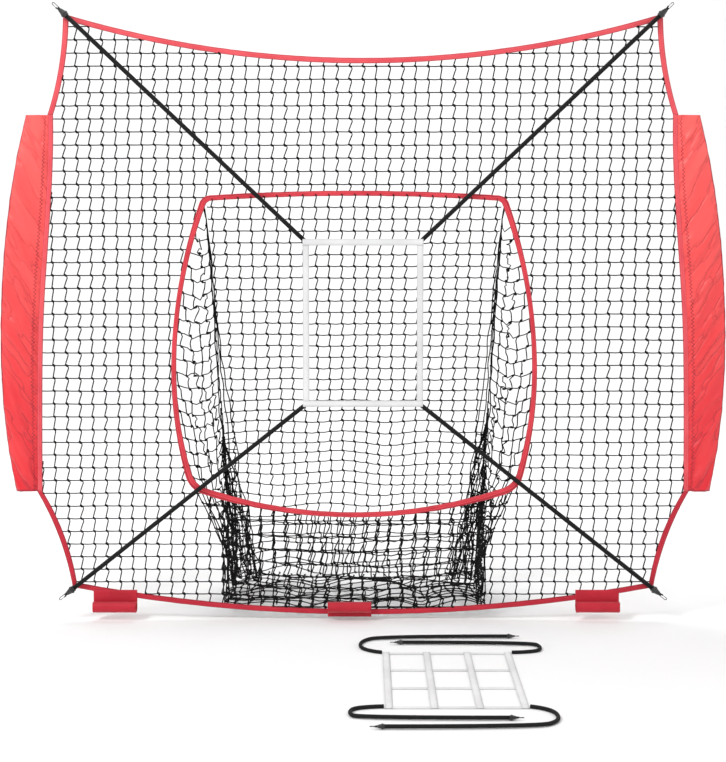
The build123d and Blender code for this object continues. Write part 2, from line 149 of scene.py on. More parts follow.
class Surface:
    """A Principled material with short calls for the nodes that these fabrics use."""

    def __init__(self, name):
        self.material = bpy.data.materials.new(name)
        self.material.use_nodes = True
        self.tree = self.material.node_tree
        self.shader = self.tree.nodes["Principled BSDF"]

    def set(self, socket, value):
        """A value that is the same all over, set on the shader itself."""
        self.shader.inputs[socket].default_value = value

    def link(self, source, target):
        self.tree.links.new(source, target)

    def feed(self, node, index, value):
        """Connects a socket, or sets it where the value is a number or a colour."""
        if isinstance(value, bpy.types.NodeSocket):
            self.link(value, node.inputs[index])
        else:
            node.inputs[index].default_value = value

    def coordinates(self):
        return self.tree.nodes.new("ShaderNodeTexCoord").outputs["Object"]

    def uv(self):
        """(along, across) in metres, from the piece's own map."""
        node = self.tree.nodes.new("ShaderNodeUVMap")
        node.uv_map = "cloth"
        split = self.tree.nodes.new("ShaderNodeSeparateXYZ")
        self.link(node.outputs[0], split.inputs[0])
        return split.outputs["X"], split.outputs["Y"]

    def math(self, operation, *values):
        node = self.tree.nodes.new("ShaderNodeMath")
        node.operation = operation
        for index, value in enumerate(values):
            self.feed(node, index, value)
        return node.outputs[0]

    def times(self, first, second):
        return self.math("MULTIPLY", first, second)

    def minus(self, first, second):
        return self.math("SUBTRACT", first, second)

    def off(self, value, place):
        """How far a value is from a place, on either side."""
        return self.math("ABSOLUTE", self.minus(value, place))

    def drive(self, socket, value):
        """Feeds a socket of the shader itself."""
        self.link(value, self.shader.inputs[socket])

    def noise(self, scale, detail=3.0, vector=None):
        node = self.tree.nodes.new("ShaderNodeTexNoise")
        node.inputs["Scale"].default_value = scale
        node.inputs["Detail"].default_value = detail
        self.link(vector or self.coordinates(), node.inputs["Vector"])
        return node.outputs["Fac"]

    def spread(self, value, low, high, to_low=0.0, to_high=1.0):
        """A value taken from one range to another, held at the ends."""
        node = self.tree.nodes.new("ShaderNodeMapRange")
        for index, item in enumerate((value, low, high, to_low, to_high)):
            self.feed(node, index, item)
        return node.outputs[0]

    def mix(self, factor, first, second):
        node = self.tree.nodes.new("ShaderNodeMix")
        node.data_type = "RGBA"
        self.feed(node, 0, factor)
        self.feed(node, 6, first)
        self.feed(node, 7, second)
        return node.outputs[2]

    def bump(self, height, distance, strength=1.0, before=None):
        node = self.tree.nodes.new("ShaderNodeBump")
        node.inputs["Strength"].default_value = strength
        node.inputs["Distance"].default_value = distance
        self.link(height, node.inputs["Height"])
        if before:
            self.link(before, node.inputs["Normal"])
        return node.outputs[0]

    def ripple(self, value, pitch):
        """A smooth wave from 0 to 1 that repeats every pitch."""
        wave = self.math("SINE", self.times(value, 2 * math.pi / pitch))
        return self.math("MULTIPLY_ADD", wave, 0.5, 0.5)

    def dashes(self, along, across, at, pitch, width):
        """A row of stitches along a line: 1 on the thread and 0 off it."""
        off = self.off(across, at)
        near = self.spread(off, width * 0.35, width * 0.65, 1.0, 0.0)
        step = self.math("FRACT", self.math("DIVIDE", along, pitch))
        on = self.math("LESS_THAN", step, 0.68)
        return self.times(near, on)


def woven(name, dark, light, thread, rough, sheen=0.25, stitches=(), thread_colour=None, edges=()):
    """Cloth or webbing: crossing threads, soft blotches of tone and rows of stitching.
    The stitches are (place across, pitch, thread width), in metres, and the cloth is darker in painted
    shade along its folded edges, which are places across."""
    surface = Surface(name)
    along, across = surface.uv()
    blotch = surface.spread(surface.noise(9.0, 4.0), 0.32, 0.68)
    fine = surface.spread(surface.noise(260.0, 2.0), 0.3, 0.7)
    tone = surface.math("MULTIPLY_ADD", fine, 0.3, surface.times(blotch, 0.7))
    colour = surface.mix(tone, dark, light)
    weave = surface.times(surface.ripple(along, thread), surface.ripple(across, thread))
    height = surface.math("MULTIPLY_ADD", fine, 0.4, weave)
    rows = None
    for at, pitch, thick in stitches:
        row = surface.dashes(along, across, at, pitch, thick)
        rows = row if rows is None else surface.math("MAXIMUM", rows, row)
    normal = surface.bump(height, 0.00018, 0.5)
    # painted shade: the cloth darkens towards its folded edges, mottled by the fine noise
    for at in edges:
        off = surface.off(across, at)
        near = surface.spread(off, 0.0006, 0.0034, 0.75, 0.0)
        painted_edge_shade = surface.times(near, surface.spread(fine, 0.0, 1.0, 0.6, 1.0))
        colour = surface.mix(painted_edge_shade, colour, tuple(0.5 * value for value in dark[:3]) + (1,))
    if rows is not None:
        colour = surface.mix(rows, colour, thread_colour or light)
        normal = surface.bump(rows, 0.0005, 0.8, before=normal)
    surface.drive("Base Color", colour)
    rough = surface.spread(fine, 0.0, 1.0, rough - 0.08, rough + 0.08)
    surface.drive("Roughness", rough)
    surface.drive("Normal", normal)
    surface.set("Sheen Weight", sheen)
    surface.set("Sheen Roughness", 0.4)
    surface.set("Specular IOR Level", 0.3)
    return surface.material


def nylon(name, dark, light, deep):
    """Thin coated nylon over a pole: diagonal creases in painted shade and painted highlight, painted light
    that makes the top paler than the bottom, a fine weave, dark piping and hems, and a zigzag seam. Its map
    is metres along and turns round from the inner edge."""
    surface = Surface(name)
    along, turn = surface.uv()
    place = surface.tree.nodes.new("ShaderNodeSeparateXYZ")
    surface.link(surface.coordinates(), place.inputs[0])
    across = surface.math("ABSOLUTE", place.outputs["X"])
    height = place.outputs["Z"]
    lean = surface.minus(surface.times(height, 0.5), surface.times(across, 0.87))
    run = surface.math("ADD", surface.times(height, 0.87), surface.times(across, 0.5))
    spot = surface.tree.nodes.new("ShaderNodeCombineXYZ")
    surface.link(surface.times(lean, 5.0), spot.inputs[0])
    surface.link(run, spot.inputs[1])
    surface.link(place.outputs["Y"], spot.inputs[2])
    folds = surface.noise(5.0, 2.0, spot.outputs[0])
    # painted shade and painted highlight: the tone streaks along the diagonal creases
    painted_crease_tone = surface.spread(folds, 0.35, 0.65)
    # painted light: the nylon turns paler towards the top
    fall = surface.spread(height, *SLEEVE_PAINTED_LIGHT, 0.0, 1.0)
    tone = surface.math("MULTIPLY_ADD", painted_crease_tone, 0.22, surface.times(fall, 0.78))
    colour = surface.mix(tone, dark, light)
    # painted shade: dark lines down the creases, stronger lower on the sleeve
    from_fold = surface.off(folds, 0.5)
    depth = surface.spread(height, *SLEEVE_PAINTED_LIGHT, 0.60, 0.25)
    line = surface.times(surface.spread(from_fold, 0.0, 0.013, 1.0, 0.0), depth)
    colour = surface.mix(line, colour, deep)
    share = surface.math("COSINE", surface.times(turn, 2 * math.pi))
    share = surface.math("MULTIPLY_ADD", share, -0.5, 0.5)
    piping = surface.spread(share, 0.960, 0.972, 0.0, 0.9)
    ends = surface.spread(surface.math("PINGPONG", along, SLEEVE_RUN), 0.003, 0.007, 0.8, 0.0)
    colour = surface.mix(surface.math("MAXIMUM", piping, ends), colour, deep)
    zigzag = surface.minus(surface.ripple(along, ZIGZAG_PITCH), 0.5)
    wave = surface.times(zigzag, 0.05)
    off = surface.off(surface.math("ADD", share, wave), ZIGZAG_AT)
    thread = surface.spread(off, 0.008, 0.022, 0.8, 0.0)
    colour = surface.mix(thread, colour, deep)
    fine = surface.noise(700.0, 2.0)
    weave = surface.times(surface.ripple(along, 0.0009), surface.ripple(turn, 0.004))
    normal = surface.bump(weave, 0.00008, 0.35)
    normal = surface.bump(surface.spread(from_fold, 0.0, 0.06), 0.005, 0.6, before=normal)
    normal = surface.bump(thread, 0.0006, 0.5, before=normal)
    surface.drive("Base Color", colour)
    surface.drive("Roughness", surface.spread(fine, 0.3, 0.7, 0.36, 0.5))
    surface.drive("Normal", normal)
    surface.set("Sheen Weight", 0.15)
    surface.set("Specular IOR Level", 0.35)
    return surface.material


def twisted(name, dark, light, pitch, rough, strands):
    """Twine or braid: threads that wind round the piece, from its own map."""
    surface = Surface(name)
    along, across = surface.uv()
    turns = surface.times(across, float(strands))
    turn = surface.math("MULTIPLY_ADD", along, 1.0 / pitch, turns)
    back = surface.minus(surface.math("DIVIDE", along, pitch), turns)
    ridge = surface.math("MAXIMUM", surface.ripple(turn, 1.0), surface.ripple(back, 1.0))
    fuzz = surface.noise(420.0, 2.0)
    tone = surface.times(ridge, surface.spread(fuzz, 0.25, 0.75, 0.6, 1.0))
    surface.drive("Base Color", surface.mix(tone, dark, light))
    surface.drive("Roughness", surface.spread(fuzz, 0.2, 0.8, rough - 0.08, rough + 0.1))
    surface.drive("Normal", surface.bump(tone, 0.0004, 0.7))
    surface.set("Specular IOR Level", 0.18)
    return surface.material


def hard(name, dark, light, rough, metal=0.0, coat=0.0):
    """Moulded plastic or coated wire: slight mottling, fine grain and rubbed patches."""
    surface = Surface(name)
    grain = surface.noise(900.0, 2.0)
    rub = surface.spread(surface.noise(60.0, 4.0), 0.45, 0.75)
    surface.drive("Base Color", surface.mix(rub, dark, light))
    surface.drive("Roughness", surface.spread(rub, 0.0, 1.0, rough, rough - 0.15))
    surface.drive("Normal", surface.bump(grain, 0.00008, 0.6))
    surface.set("Metallic", metal)
    surface.set("Coat Weight", coat)
    return surface.material


# ---- meshes


def mesh_object(name, verts, faces, uvs=None):
    """A new object from points and faces, smooth, with a map of metres where it is given."""
    mesh = bpy.data.meshes.new(name)
    mesh.from_pydata([tuple(v) for v in verts], [], faces)
    if uvs:
        layer = mesh.uv_layers.new(name="cloth")
        flat = [value for face in uvs for corner in face for value in corner]
        layer.data.foreach_set("uv", flat)
    mesh.polygons.foreach_set("use_smooth", [True] * len(mesh.polygons))
    mesh.update()
    made = bpy.data.objects.new(name, mesh)
    bpy.context.scene.collection.objects.link(made)
    return made


def loft_faces(rings, start=0, closed=True, caps=False, turns=False):
    """Faces and their map between rings of points. The map is metres along and round,
    or turns round where turns is true."""
    count = len(rings[0])
    spans = count if closed else count - 1
    faces, uvs = [], []
    along = 0.0
    for index, (near, far) in enumerate(zip(rings, rings[1:])):
        middle_near = sum(near, Vector()) / count
        middle_far = sum(far, Vector()) / count
        step = (middle_far - middle_near).length
        around = 0.0
        for k in range(spans):
            after = (k + 1) % count
            width = 1.0 / spans if turns else (near[after] - near[k]).length
            a = start + index * count
            faces.append((a + k, a + after, a + count + after, a + count + k))
            end, side = along + step, around + width
            uvs.append(((along, around), (along, side), (end, side), (end, around)))
            around = side
        along += step
    if caps:
        last = start + (len(rings) - 1) * count
        for face in (tuple(range(start + count - 1, start - 1, -1)), tuple(range(last, last + count))):
            faces.append(face)
            uvs.append(tuple((0.0, 0.0) for _ in face))
    return faces, uvs


def loft_object(name, rings, closed=True, caps=False, turns=False):
    faces, uvs = loft_faces(rings, 0, closed, caps, turns)
    return mesh_object(name, [point for ring in rings for point in ring], faces, uvs)


def dress(piece, material, body, node=None):
    """Gives a piece its material and the body it rides on, and hides the CAD node that it stands for."""
    piece.data.materials.append(material)
    if node:
        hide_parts(node)
    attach(piece, body)


def tube_rings(points, radius, sides):
    """Rings of a round tube along a path, with no twist."""
    rings = []
    normal = None
    for index, point in enumerate(points):
        ahead = points[min(index + 1, len(points) - 1)]
        behind = points[max(index - 1, 0)]
        tangent = (ahead - behind).normalized()
        if normal is None:
            normal = tangent.orthogonal().normalized()
        normal = (normal - tangent * normal.dot(tangent)).normalized()
        side = tangent.cross(normal)
        ring = []
        for k in range(sides):
            angle = 2 * math.pi * k / sides
            ring.append(point + (normal * math.cos(angle) + side * math.sin(angle)) * radius)
        rings.append(ring)
    return rings


def smooth_noise(point, scale, seed=0.0):
    """Noise from about -1 to 1 that is the same each run."""
    return noise.noise(Vector((point[0] * scale + seed, point[1] * scale, point[2] * scale)))


# ---- reading shapes off the frame


def crossings(node, point, normal):
    """Where the edges of a CAD node's mesh cross a plane."""
    mesh = NODES[node].data
    side = [(vertex.co - point).dot(normal) for vertex in mesh.vertices]
    found = []
    for edge in mesh.edges:
        a, b = edge.vertices
        if side[a] * side[b] <= 0 and side[a] != side[b]:
            share = side[a] / (side[a] - side[b])
            found.append(mesh.vertices[a].co.lerp(mesh.vertices[b].co, share))
    return found


def extent(node, point, normal, direction):
    """The lowest and highest reach of a node along a direction, in one plane through it."""
    reach = [(found - point).dot(direction) for found in crossings(node, point, normal)]
    reach = [value for value in reach if value > 0]
    return (min(reach), max(reach)) if reach else None


def band_middle(nodes, axis):
    """A function that gives the middle of some bands at a place along X (axis 0) or Z (axis 2)."""
    other = 2 - axis
    table = sorted(
        (inner[axis], (abs(inner[other]) + abs(outer[other])) / 2)
        for node in nodes
        for inner, outer in cuts_along(node, axis, 120)
    )

    def middle(place):
        place = min(max(place, table[0][0]), table[-1][0])
        for (near, low), (far, high) in zip(table, table[1:]):
            if place <= far:
                share = (place - near) / (far - near) if far > near else 0.0
                return low + (high - low) * share
        return table[-1][1]

    return middle


def solids_of(node):
    """The points of each separate solid in a CAD node."""
    mesh = bmesh.new()
    mesh.from_mesh(NODES[node].data)
    bmesh.ops.remove_doubles(mesh, verts=mesh.verts, dist=SAME_PLACE)
    seen = set()
    solids = []
    for first in mesh.verts:
        if first in seen:
            continue
        seen.add(first)
        island = [first]
        for vert in island:
            for edge in vert.link_edges:
                other = edge.other_vert(vert)
                if other not in seen:
                    seen.add(other)
                    island.append(other)
        solids.append([vert.co.copy() for vert in island])
    mesh.free()
    return solids


def strand_lines(node):
    """The two ends of each straight strand in a CAD netting node."""
    lines = []
    for points in solids_of(node):
        far = max(points, key=lambda p: (p - points[0]).length)
        end = max(points, key=lambda p: (p - far).length)
        ends = []
        for tip in (far, end):
            ring = [p for p in points if (p - tip).length < 0.006]
            ends.append(sum(ring, Vector()) / len(ring))
        lines.append(tuple(ends))
    return lines


# ---- netting


class Strands:
    """The mesh of a piece of netting, as tubes of twine and knots are added to it."""

    def __init__(self):
        self.verts, self.faces, self.uvs = [], [], []

    def add_tube(self, points, radius):
        rings = tube_rings(points, radius, TWINE_SIDES)
        faces, uvs = loft_faces(rings, len(self.verts), turns=True)
        self.verts.extend(point for ring in rings for point in ring)
        self.faces.extend(faces)
        self.uvs.extend(uvs)

    def add_knot(self, high, low, radius):
        """A small oblong knot between two points."""
        middle = (high + low) / 2
        long = (high - low).normalized()
        wide = long.orthogonal().normalized()
        deep = long.cross(wide)
        start = len(self.verts)
        reach = min((high - low).length / 2, radius * 1.2) + radius * 0.5
        self.verts.append(middle + long * reach)
        for share, size in ((0.62, 0.72), (0.0, 1.0), (-0.62, 0.72)):
            for k in range(6):
                angle = math.pi / 3 * k + share
                out = (wide * math.cos(angle) + deep * math.sin(angle)) * radius * size
                self.verts.append(middle + long * reach * share + out)
        self.verts.append(middle - long * reach)
        last = len(self.verts) - 1
        made = [(start, start + 1 + k, start + 1 + (k + 1) % 6) for k in range(6)]
        for near in (start + 1, start + 7):
            made += [(near + k, near + 6 + k, near + 6 + (k + 1) % 6, near + (k + 1) % 6) for k in range(6)]
        made += [(last, last - 6 + (k + 1) % 6, last - 6 + k) for k in range(6)]
        self.faces.extend(made)
        self.uvs.extend(tuple((0.001 * k, 0.2 * k) for k in range(len(face))) for face in made)

    def piece(self, name):
        return mesh_object(name, self.verts, self.faces, self.uvs)


def netting(name, rows, columns, place, seed, jog=JOG, slack=0.0):
    """Knotted netting over a panel. Rows are (up, from, to) and columns are (across, from, to);
    place turns (across, up) into a point. Each upright steps aside at its knots, and each level
    strand runs nearly straight from knot to knot."""
    chance = random.Random(seed)
    strands = Strands()
    knots = {}
    for u, low, high in columns:
        ups = sorted(v for v, start, end in rows if low - 1e-4 <= v <= high + 1e-4 and start <= u <= end)
        phase = chance.uniform(0.7, 1.25)
        lean = chance.uniform(-0.3, 0.3)
        stops = [low, *ups, high]
        path = []
        for below, above in zip(stops, stops[1:]):
            gap = above - below
            if gap < 0.004:
                continue
            step = jog * phase * min(1.0, gap / MESH) * chance.uniform(0.75, 1.25)
            shares = ((0.06, -0.9), (0.3, -0.25), (0.55, 0.45), (0.78, 1.15), (0.94, 0.9))
            for share, aside in shares:
                path.append(place(u + step * (aside + lean), below + gap * share))
        if len(path) > 1:
            strands.add_tube([place(u, low), *path, place(u, high)], TWINE)
        for v in ups:
            knots[(round(u, 5), round(v, 5))] = (
                place(u - jog * 0.8, v + 0.003),
                place(u + jog * 0.8, v - 0.003),
            )
    for v, start, end in rows:
        across = sorted(u for u, low, high in columns if start <= u <= end and low - 1e-4 <= v <= high + 1e-4)
        stops = [start, *across, end]
        path = [place(start, v)]
        for near, far in zip(stops, stops[1:]):
            droop = chance.uniform(0.0, 0.0011) + slack * chance.random()
            path.append(place((near + far) / 2, v - droop))
            path.append(place(far, v + chance.uniform(-0.0004, 0.0004)))
        strands.add_tube(path, TWINE * ROW_SHARE)
    for high, low in knots.values():
        strands.add_knot(high, low, KNOT * chance.uniform(0.85, 1.1))
    return strands.piece(name)


def add_netting(name, node, material, rows, columns, place, seed, **look):
    """Netting that stands for a CAD netting node and stays with the net."""
    dress(netting(name, rows, columns, place, seed, **look), material, "net", node)


def flat_panel(node, across, up):
    """The rows and columns of a flat CAD netting node, measured along two directions."""
    rows, columns = [], []
    for first, second in strand_lines(node):
        a = (first.dot(across), first.dot(up))
        b = (second.dot(across), second.dot(up))
        if abs(a[0] - b[0]) > abs(a[1] - b[1]):
            rows.append(((a[1] + b[1]) / 2, min(a[0], b[0]), max(a[0], b[0])))
        else:
            columns.append(((a[0] + b[0]) / 2, min(a[1], b[1]), max(a[1], b[1])))
    return rows, columns


def add_main_net(material):
    """The front netting: every strand of the frame's, jogged and knotted, and a little loose."""
    rows, columns = flat_panel("main_net", Vector((1, 0, 0)), Vector((0, 0, 1)))
    reach = 0.006  # strands run on into the folded binding
    rows = [(v, start - reach, end + reach) for v, start, end in rows]
    columns = [(u, low - reach, high + reach) for u, low, high in columns]

    lip_low, lip_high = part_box("mouth_band")
    middle, half, lip = (lip_low.x + lip_high.x) / 2, 0.40, lip_low.z + 0.02
    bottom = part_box("binding_bottom")[0].z + 0.02
    outline = band_middle(["binding_left_lower", "binding_left_upper", "sleeve_seam_left"], 2)
    hem = band_middle(["binding_bottom"], 0)

    def place(u, v):
        ripple = 0.0012 * smooth_noise((u, 0, v), 6.0)
        point = Vector((u + 0.0010 * smooth_noise((u, 1, v), 9.0, 3.0), ripple, v + ripple))
        inside = max(1 - ((u - middle) / half) ** 2, 0.0)
        if inside and v < lip:
            slack = inside * math.sin(math.pi * max((v - bottom) / (lip - bottom), 0.0))
            point.z -= 0.028 * slack - 0.009 * slack * smooth_noise((u, 3, v), 13.0)
            point.x += 0.012 * slack * smooth_noise((u, 5, v), 11.0)
            point.y += 0.004 * slack * smooth_noise((u, 7, v), 9.0)
        reach = outline(point.z)
        point.x = min(max(point.x, -reach), reach)
        point.z = max(point.z, hem(point.x))
        return point

    add_netting("front_netting", "main_net", material, rows, columns, place, 3)


def band_height(x, top):
    """How far the underside of the mouth's top band is above a height."""
    found = [point.z for point in crossings("mouth_band", Vector((x, 0, 0)), Vector((1, 0, 0)))]
    found = [z for z in found if z > top - 0.01]
    return (min(found) + 0.004 - top) if found else 0.0


def add_pocket_back(material):
    """The rear netting: even where it hangs, and slack, bellied and crowded towards the floor."""
    low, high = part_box("pocket_back")
    floor, top, front, rear = low.z, high.z, low.y, high.y
    up = Vector((0, front - rear, top - floor)).normalized()
    rows, columns = flat_panel("pocket_back", Vector((1, 0, 0)), up)
    base = Vector((0, rear, floor)).dot(up)
    length = (top - floor) / up.z
    columns = [(u, low, high + band_height(u, top) / up.z) for u, low, high in columns]

    def place(u, v):
        share = min(max((v - base) / length, 0.0), 1.0)
        slack = (1 - share) ** 2
        point = Vector((u, rear - 0.004, floor + 0.002)) + up * (v - base)
        point.x += 0.012 * slack * smooth_noise((u, 2, v), 7.0)
        point.y -= 0.020 * slack * abs(smooth_noise((u, 5, v), 4.0)) + 0.010 * math.sin(math.pi * share)
        point.z += 0.034 * slack * smooth_noise((u, 7, v), 6.0) + 0.012 * (1 - share)
        return point

    add_netting("pocket_rear_netting", "pocket_back", material, rows, columns, place, 11, slack=0.002)


def add_pocket_floor(material):
    """The bottom netting, lying in loose folds just over the floor."""
    rows, columns = flat_panel("pocket_floor", Vector((1, 0, 0)), Vector((0, 1, 0)))
    rows = sorted(rows)[:-1]  # the rear panel's lowest row closes the seam
    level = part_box("pocket_floor")[0].z + 0.003
    hem = band_middle(["binding_bottom"], 0)

    def place(u, v):
        lift = 0.050 * abs(smooth_noise((u, v, 0), 5.0)) + 0.004
        shift = 0.018 * smooth_noise((u, v, 4), 6.0)
        point = Vector((u + shift, max(v - shift, 0.0), level + lift))
        if point.y < 0.09:
            point.z = max(point.z, hem(point.x))
        return point

    add_netting("pocket_floor_netting", "pocket_floor", material, rows, columns, place, 17, slack=0.004)


def add_pocket_apron(material):
    """The slack front of the pocket under the lip, behind the front netting."""
    rows, columns = flat_panel("pocket_apron", Vector((1, 0, 0)), Vector((0, 0, 1)))
    low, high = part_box("pocket_apron")
    reach = 0.010
    columns = [(u, start, end + reach) for u, start, end in columns]
    half = (high.x - low.x) / 2
    hem = band_middle(["binding_bottom"], 0)

    def place(u, v):
        drop = min(max((high.z - v) / (high.z - low.z), 0.0), 1.0)
        loose = math.sin(math.pi * min(drop * 1.1, 1.0)) + 0.35
        x = u + 0.016 * loose * smooth_noise((u, 9, v), 8.0)
        y = 0.012 + 0.020 * loose * (0.5 + 0.5 * smooth_noise((u, 4, v), 5.0))
        bow = max(1 - (u / half) ** 2, 0.0) * math.sin(math.pi * drop)
        z = v - 0.034 * bow + 0.024 * loose * smooth_noise((u, 6, v), 7.0) * drop
        return Vector((x, y, max(z, hem(x))))

    add_netting("pocket_apron_netting", "pocket_apron", material, rows, columns, place, 23, slack=0.004)


def side_edges(node):
    """The front and rear edge of a gathered pocket side at a height, read off its CAD skin."""
    low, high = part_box(node)

    def at(z):
        z = min(max(z, low.z + 0.001), high.z - 0.001)
        found = crossings(node, Vector((0, 0, z)), Vector((0, 0, 1)))
        front = min(found, key=lambda p: p.y)
        rear = max(found, key=lambda p: p.y)
        return front, rear

    heights = [low.z + (high.z - low.z) * k / 40 for k in range(41)]
    table = [at(z) for z in heights]

    def edges(z):
        place = (z - low.z) / (high.z - low.z) * 40
        k = min(max(int(place), 0), 39)
        share = min(max(place - k, 0.0), 1.0)
        return tuple(table[k][i].lerp(table[k + 1][i], share) for i in (0, 1))

    return edges, low.z, high.z


def add_pocket_side(name, sign, material):
    """A gathered side of the pocket: upright strands hang from the mouth's band beside the rear edge,
    and level ones sag between the two and crowd into pleats near the floor."""
    node = f"pocket_{name}"
    edges, low, high = side_edges(node)
    corner_z = high + CORNER_RUN
    mouth = [point.x for point in crossings("mouth_band", Vector((0, 0, corner_z)), Vector((0, 0, 1)))]
    corner = Vector(((max(mouth) if sign > 0 else min(mouth)) - sign * 0.008, 0.004, corner_z))
    hem = band_middle(["binding_bottom"], 0)

    def width(z):
        front, rear = edges(z)
        return (rear - front).length

    heights = [low + (high - low) * k / 200 for k in range(201)]
    widest = max(width(z) for z in heights)
    columns = [(1.0, low, corner_z)]
    for k in range(1, SIDE_STRANDS):
        away = k / SIDE_STRANDS
        top = max(z for z in heights if width(z) >= away * widest)
        columns.append((1 - away, low, min(top + 0.03, high)))
    count = int((high - low) / MESH)
    rows = []
    for k in range(count):
        v = low + (high - low) * (k + 0.5) / count
        rows.append((v, 1 - width(v) / widest, 1.0))

    def place(u, v):
        fall = 1 - (v - low) / (high - low)
        front, rear = edges(v)
        reach = max(width(v) / widest, 0.001)
        share = min(max(1 - (1 - u) / reach, 0.0), 1.0)
        point = front.lerp(rear, share)
        hang = math.sin(math.pi * share)
        pleat = 0.012 * fall * math.sin(share * 26 + 4 * fall)
        point.x -= sign * (0.006 + pleat) * hang
        point.x += 0.010 * hang * smooth_noise((share * 3, 6, v), 12.0, sign)
        point.y += 0.012 * hang * smooth_noise((share * 2, 3, v), 7.0, sign)
        sag = hang * (0.10 * width(v) - 0.020 * smooth_noise((share * 3, 8, v), 9.0, sign))
        point.z = max(v - sag, low + 0.004)
        if v > high:
            point = point.lerp(corner, (v - high) / CORNER_RUN)
        if point.y < 0.09:
            point.z = max(point.z, hem(point.x))
        return point

    add_netting(f"pocket_{name}_netting", node, material, rows, columns, place, 31 + sign, jog=0.012)
    add_gather(name, sign, material, corner)


def add_gather(name, sign, material, corner):
    """The bunched netting where a side meets the rear panel: a few strands come down from the mouth's
    corner, and lower down slack ones join them and wander, tied to each other by short slanted ones,
    in a rope that spreads towards the floor."""
    edges, low, high = side_edges(f"pocket_{name}")
    chance = random.Random(51 + sign)
    lines = []
    for index in range(GATHER_STRANDS):
        home = index / (GATHER_STRANDS - 1)
        from_corner = index % 8 == 0
        begin = high if from_corner else low + (high - low) * chance.uniform(0.22, 0.50)
        points = [corner.copy()] if from_corner else []
        z = begin
        phase = chance.uniform(0, 50)
        while z > low + 0.006:
            fall = 1 - (z - low) / (high - low)
            rear = edges(z)[1]
            joined = min((begin - z) / 0.14, 1.0)
            spread = (0.006 + 0.105 * fall**2.2) * joined
            loose = 0.25 + 0.75 * fall
            wander = 0.018 * loose * joined * noise.noise(Vector((phase, z * 14, index)))
            x = rear.x - sign * (spread * home - 0.014 * fall**2 + wander)
            wander = 0.018 * loose * noise.noise(Vector((phase + 9, z * 11, index)))
            y = rear.y - 0.006 - (0.060 + 0.03 * home) * fall**1.5 * joined + wander * joined
            points.append(Vector((x, min(y, rear.y - 0.003), z)))
            z -= 0.011 * chance.uniform(0.8, 1.2)
        lines.append(points)

    strands = Strands()
    for points in lines:
        if len(points) > 2:
            strands.add_tube(points, TWINE * chance.uniform(0.85, 1.1))
    tie_top = low + 0.46 * (high - low)
    for points, others in zip(lines, lines[1:]):
        place = chance.randrange(1, 4)
        while place < len(points):
            start = points[place]
            near = min(others, key=lambda p: abs(p.z - start.z - 0.006)) if others else None
            if near and start.z < tie_top and (near - start).length < 0.06:
                middle = start.lerp(near, 0.5) - Vector((0, 0.003, 0.004 * chance.random()))
                strands.add_tube([start, middle, near], TWINE * 0.86)
                aside = Vector((0.0028, 0, 0.0018 * chance.choice((-1, 1))))
                strands.add_knot(start + aside, start - aside, KNOT * 0.8)
            place += chance.randrange(2, 5)
    dress(strands.piece(f"pocket_{name}_gather"), material, "net")


# ---- ribbons: bindings and webbing


def ribbon_ring(inner, outer, middle_y, half):
    """One cross-section of a folded band in the net's plane: full in the middle, thin at its edges."""
    edge = ((0.0, 0.45), (0.05, 0.75), (0.16, 0.95), (0.35, 1.0))
    shares = edge + ((0.65, 1.0), (0.84, 0.95), (0.95, 0.75), (1.0, 0.45))
    ring = []
    for front, places in ((-1, shares), (1, reversed(shares))):
        for share, thick in places:
            point = inner.lerp(outer, share)
            ring.append(Vector((point.x, middle_y + front * half * thick, point.z)))
    return ring


def add_band(name, node, sections, material, closed=False, pucker=0.0005):
    """A sewn band from its two edges at each section, with a slight pucker from the stitching."""
    low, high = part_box(node)
    middle, half = (low.y + high.y) / 2, (high.y - low.y) / 2
    rings = []
    for inner, outer in sections:
        ring = ribbon_ring(inner, outer, middle, half)
        for point in ring:
            push = pucker * smooth_noise((point.x, point.y * 4, point.z), 60.0)
            point.y += push
            point.z += push * 0.6
        rings.append(ring)
    if closed:
        rings.append([point.copy() for point in rings[0]])
    dress(loft_object(name, rings, caps=not closed), material, "net", node)


def cuts_along(node, axis, count):
    """The two edges of a band at even steps along X or Z."""
    low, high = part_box(node)
    start, end = low[axis] + 1e-4, high[axis] - 1e-4
    normal = Vector((1, 0, 0)) if axis == 0 else Vector((0, 0, 1))
    sections = []
    for k in range(count + 1):
        point = Vector((0, 0, 0))
        point[axis] = start + (end - start) * k / count
        found = crossings(node, point, normal)
        other = 2 if axis == 0 else 0
        if len(found) < 2:
            continue
        inner = min(found, key=lambda p: abs(p[other]))
        outer = max(found, key=lambda p: abs(p[other]))
        if abs(outer[other] - inner[other]) > 2e-4:
            sections.append((inner.copy(), outer.copy()))
    return sections


def cuts_around(node, count):
    """The two edges of a closed band at even turns about its middle."""
    low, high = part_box(node)
    middle = (low + high) / 2
    middle.y = 0
    sections = []
    for k in range(count):
        angle = 2 * math.pi * k / count
        direction = Vector((math.cos(angle), 0, math.sin(angle)))
        normal = Vector((-direction.z, 0, direction.x))
        near, far = extent(node, middle, normal, direction)
        sections.append((middle + direction * near, middle + direction * far))
    return sections


def add_edges(material, dark_material, lip_material):
    """The six lengths of edge binding, the two sleeve seams and the band round the mouth."""
    add_band("top_binding", "binding_top", cuts_along("binding_top", 0, 260), material)
    add_band("bottom_binding", "binding_bottom", cuts_along("binding_bottom", 0, 260), dark_material)
    for side in ("left", "right"):
        for part, kind in (("upper", material), ("lower", dark_material)):
            node = f"binding_{side}_{part}"
            add_band(f"{side}_{part}_binding", node, cuts_along(node, 2, 60), kind)
        node = f"sleeve_seam_{side}"
        add_band(f"{side}_sleeve_seam", node, cuts_along(node, 2, 160), material)
    add_band("mouth_binding", "mouth_band", cuts_around("mouth_band", 360), lip_material, True, 0.0012)


# ---- sleeves, tabs and webbing


def sleeve_edges(node, z):
    """The inner and outer edge of a sleeve at a height, as distances from the middle."""
    found = [abs(point.x) for point in crossings(node, Vector((0, 0, z)), Vector((0, 0, 1)))]
    return min(found), max(found)


